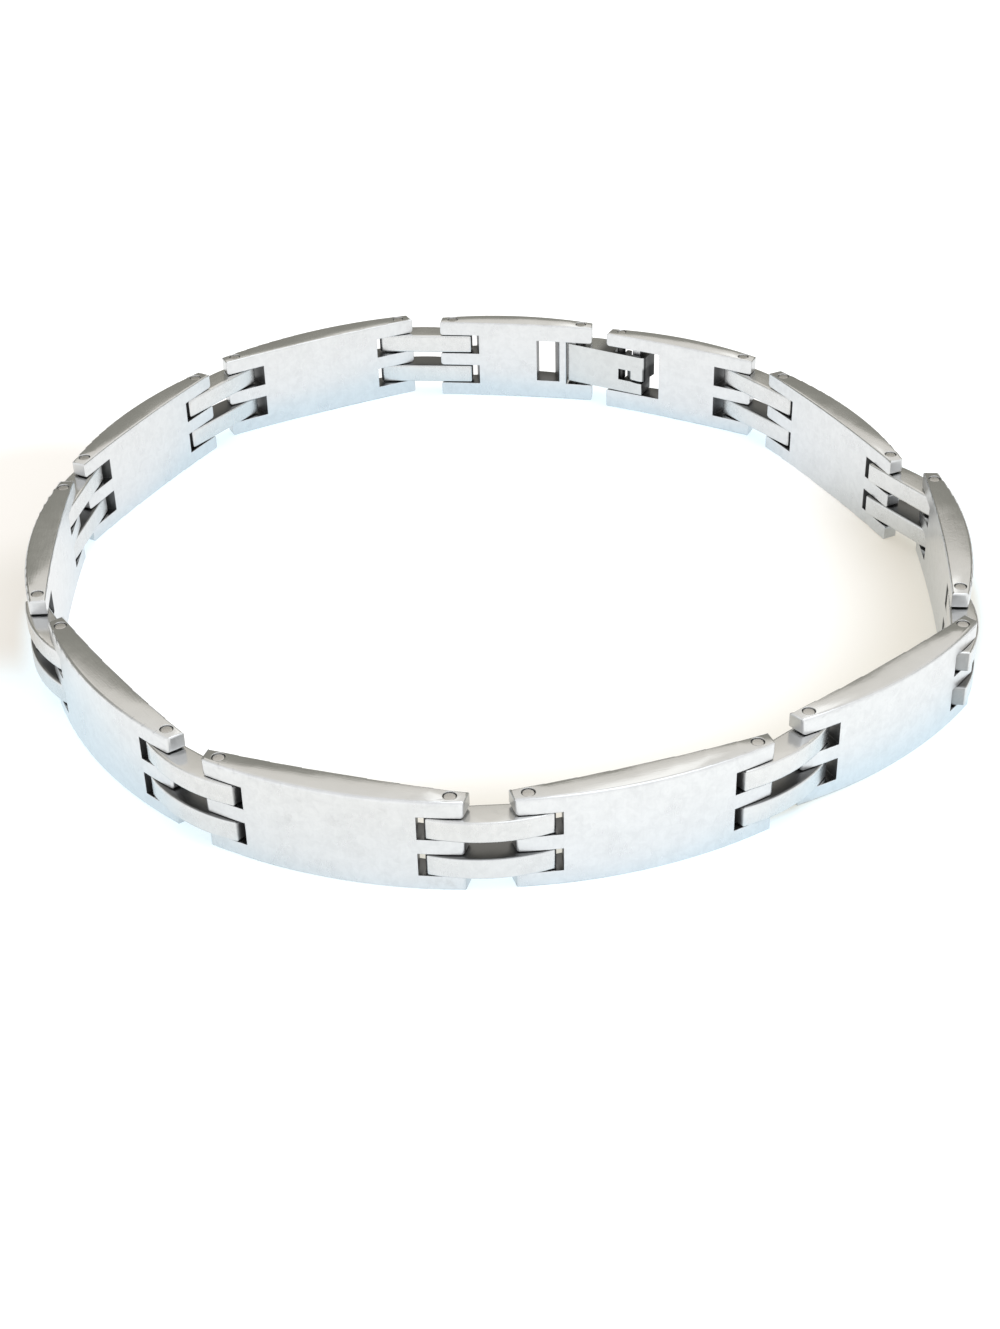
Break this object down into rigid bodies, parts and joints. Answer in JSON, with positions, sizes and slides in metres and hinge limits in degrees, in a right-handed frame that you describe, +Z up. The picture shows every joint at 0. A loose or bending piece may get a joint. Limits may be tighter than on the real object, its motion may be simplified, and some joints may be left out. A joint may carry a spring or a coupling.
{
  "type": "steel plate bracelet",
  "caption": "Closed bracelet of curved steel plates joined by paired short bars, with a hinged snap clasp, standing on its long edge.",
  "frame": {"origin": "centre of the closed band's bounding box, on the surface the band stands on", "axes": "+Z up, across the band's width; +Y towards the clasp side; +X to the right of someone who looks along +Y"},
  "size_m": [0.0689, 0.0706, 0.007],
  "materials": {
    "plate_steel": "satin faces, polished long edges",
    "bar_steel": "satin",
    "clasp_steel": "satin",
    "pin_steel": "ground ends"
  },
  "bodies": {
    "band": {"clasp_link_hinge": "plate_steel", "clasp_link_latch": "plate_steel", "hinge_pin": "pin_steel", "latch_pin": "pin_steel", "link_01": "plate_steel", "link_02": "plate_steel", "link_03": "plate_steel", "link_04": "plate_steel", "link_05": "plate_steel", "link_06": "plate_steel", "link_07": "plate_steel", "link_08": "plate_steel", "link_09": "plate_steel", "bar_01_upper": "bar_steel", "bar_01_lower": "bar_steel", "bar_02_upper": "bar_steel", "bar_02_lower": "bar_steel", "bar_03_upper": "bar_steel", "bar_03_lower": "bar_steel", "bar_04_upper": "bar_steel", "bar_04_lower": "bar_steel", "bar_05_upper": "bar_steel", "bar_05_lower": "bar_steel", "bar_06_upper": "bar_steel", "bar_06_lower": "bar_steel", "bar_07_upper": "bar_steel", "bar_07_lower": "bar_steel", "bar_08_upper": "bar_steel", "bar_08_lower": "bar_steel", "bar_09_upper": "bar_steel", "bar_09_lower": "bar_steel", "bar_10_upper": "bar_steel", "bar_10_lower": "bar_steel", "pin_01_a": "pin_steel", "pin_01_b": "pin_steel", "pin_02_a": "pin_steel", "pin_02_b": "pin_steel", "pin_03_a": "pin_steel", "pin_03_b": "pin_steel", "pin_04_a": "pin_steel", "pin_04_b": "pin_steel", "pin_05_a": "pin_steel", "pin_05_b": "pin_steel", "pin_06_a": "pin_steel", "pin_06_b": "pin_steel", "pin_07_a": "pin_steel", "pin_07_b": "pin_steel", "pin_08_a": "pin_steel", "pin_08_b": "pin_steel", "pin_09_a": "pin_steel", "pin_09_b": "pin_steel", "pin_10_a": "pin_steel", "pin_10_b": "pin_steel"},
    "clasp": {"clasp_blade": "clasp_steel"}
  },
  "joints": [
    {"name": "clasp_hinge", "type": "hinge", "parent": "band", "child": "clasp", "pos_m": [0.00775, 0.03202, 0.0035], "axis": [0, 0, -1], "range_deg": [0, 100]}
  ]
}
